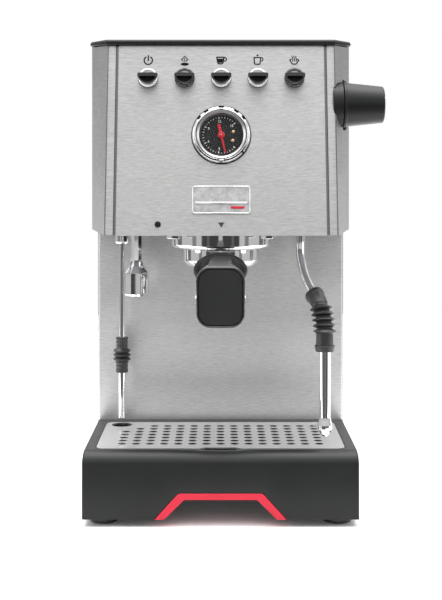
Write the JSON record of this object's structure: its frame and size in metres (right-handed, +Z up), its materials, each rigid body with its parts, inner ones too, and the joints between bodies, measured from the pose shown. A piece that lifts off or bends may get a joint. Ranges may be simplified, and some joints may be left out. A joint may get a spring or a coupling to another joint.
{
  "type": "espresso machine",
  "caption": "Upright manual espresso machine in brushed steel with pressure gauge, lever switches, side steam knob and wand, portafilter, drip tray and rear water tank.",
  "frame": {"origin": "on the standing surface, under the centre of the whole box", "axes": "+Z up, -Y towards the person using it, +X to that person's right"},
  "size_m": [0.2422, 0.3066, 0.38],
  "materials": {
    "stainless_steel": "horizontally brushed",
    "bright_steel": "bright stamped sheet",
    "plated_steel": "dark plated sheet and castings",
    "chrome": "polished",
    "aluminium": "cast",
    "brass": "machined",
    "black_paint": "satin black",
    "black_plastic": "fine matte texture",
    "gloss_black_plastic": "gloss black",
    "smoke_plastic": "smoked translucent",
    "rubber": "matt moulded",
    "red_trim": "satin red",
    "dial_black": "matt with pale printed scale",
    "needle_red": "satin red",
    "dark_lens": "gloss black",
    "gauge_glass": "clear",
    "tank_plastic": "translucent grey"
  },
  "bodies": {
    "housing": {"base_plate": "black_paint", "foot_front_left": "rubber", "foot_front_right": "rubber", "foot_rear_left": "rubber", "foot_rear_right": "rubber", "column_panel": "stainless_steel", "side_panel_left": "stainless_steel", "side_panel_right": "stainless_steel", "corner_strip_left": "stainless_steel", "corner_strip_right": "stainless_steel", "rear_panel": "stainless_steel", "front_panel": "stainless_steel", "hood_floor": "plated_steel", "top_frame": "black_plastic", "cup_warmer_plate": "bright_steel", "badge_plate": "chrome", "indicator_lens": "dark_lens", "gauge_bezel": "chrome", "gauge_case": "plated_steel", "gauge_dial": "dial_black", "gauge_glass": "gauge_glass", "knob_boss": "black_plastic", "steam_valve": "brass", "drain_tube": "chrome", "drain_sleeve": "rubber", "relief_nozzle": "chrome", "group_head": "chrome", "group_gasket": "rubber", "shower_screen": "bright_steel", "boiler": "aluminium", "pump": "plated_steel", "solenoid_valve": "plated_steel", "power_inlet": "black_plastic", "switch_bezel_1": "chrome", "switch_bezel_2": "smoke_plastic", "switch_bezel_3": "chrome", "switch_bezel_4": "chrome", "switch_bezel_5": "smoke_plastic"},
    "drip_drawer": {"drip_tray": "black_plastic", "tray_trim": "red_trim", "drip_grille": "bright_steel"},
    "tank": {"water_tank": "tank_plastic"},
    "tank_lid": {"fill_lid": "black_plastic"},
    "knob": {"steam_knob": "black_plastic", "valve_spindle": "brass"},
    "portafilter": {"portafilter_cup": "chrome", "filter_basket": "bright_steel", "double_spout": "chrome", "handle_ferrule": "chrome", "handle_grip": "black_plastic", "handle_cap": "black_plastic"},
    "wand": {"steam_wand": "chrome", "wand_sleeve": "rubber", "wand_nozzle": "chrome"},
    "needle": {"gauge_needle": "needle_red"},
    "switch_1": {"switch_lever_1": "gloss_black_plastic"},
    "switch_2": {"switch_lever_2": "gloss_black_plastic"},
    "switch_3": {"switch_lever_3": "gloss_black_plastic"},
    "switch_4": {"switch_lever_4": "gloss_black_plastic"},
    "switch_5": {"switch_lever_5": "gloss_black_plastic"}
  },
  "joints": [
    {"name": "tray_slide", "type": "slide", "parent": "housing", "child": "drip_drawer", "axis": [0, -1, 0], "range_m": [0, 0.13]},
    {"name": "tank_lift", "type": "slide", "parent": "housing", "child": "tank", "axis": [0, 0, 1], "range_m": [0, 0.32]},
    {"name": "fill_lid_hinge", "type": "hinge", "parent": "tank", "child": "tank_lid", "pos_m": [-0.01295, 0.14653, 0.379], "axis": [-1, 0, 0], "range_deg": [0, 95]},
    {"name": "steam_knob_turn", "type": "hinge", "parent": "housing", "child": "knob", "pos_m": [0.08745, -0.02167, 0.3274], "axis": [1, 0, 0], "range_deg": [0, 270]},
    {"name": "portafilter_turn", "type": "hinge", "parent": "housing", "child": "portafilter", "pos_m": [-0.01295, -0.00667, 0.21], "axis": [0, 0, 1], "range_deg": [-45, 8]},
    {"name": "wand_swivel", "type": "hinge", "parent": "housing", "child": "wand", "pos_m": [0.05345, -0.00667, 0.23], "axis": [0, 0, 1], "range_deg": [-25, 90]},
    {"name": "needle_sweep", "type": "hinge", "parent": "housing", "child": "needle", "pos_m": [-0.01235, -0.04262, 0.30218], "axis": [0, 0.9789, -0.2045], "range_deg": [-33, 240], "stiffness_Nm_per_rad": 0.0002},
    {"name": "switch_1_rock", "type": "hinge", "parent": "housing", "child": "switch_1", "pos_m": [-0.07165, -0.03291, 0.34868], "axis": [1, 0, 0], "range_deg": [-10, 10]},
    {"name": "switch_2_rock", "type": "hinge", "parent": "housing", "child": "switch_2", "pos_m": [-0.042, -0.03291, 0.34868], "axis": [1, 0, 0], "range_deg": [-10, 10]},
    {"name": "switch_3_rock", "type": "hinge", "parent": "housing", "child": "switch_3", "pos_m": [-0.01235, -0.03291, 0.34868], "axis": [1, 0, 0], "range_deg": [-10, 10]},
    {"name": "switch_4_rock", "type": "hinge", "parent": "housing", "child": "switch_4", "pos_m": [0.0173, -0.03291, 0.34868], "axis": [1, 0, 0], "range_deg": [-10, 10]},
    {"name": "switch_5_rock", "type": "hinge", "parent": "housing", "child": "switch_5", "pos_m": [0.04695, -0.03291, 0.34868], "axis": [1, 0, 0], "range_deg": [-10, 10]}
  ]
}
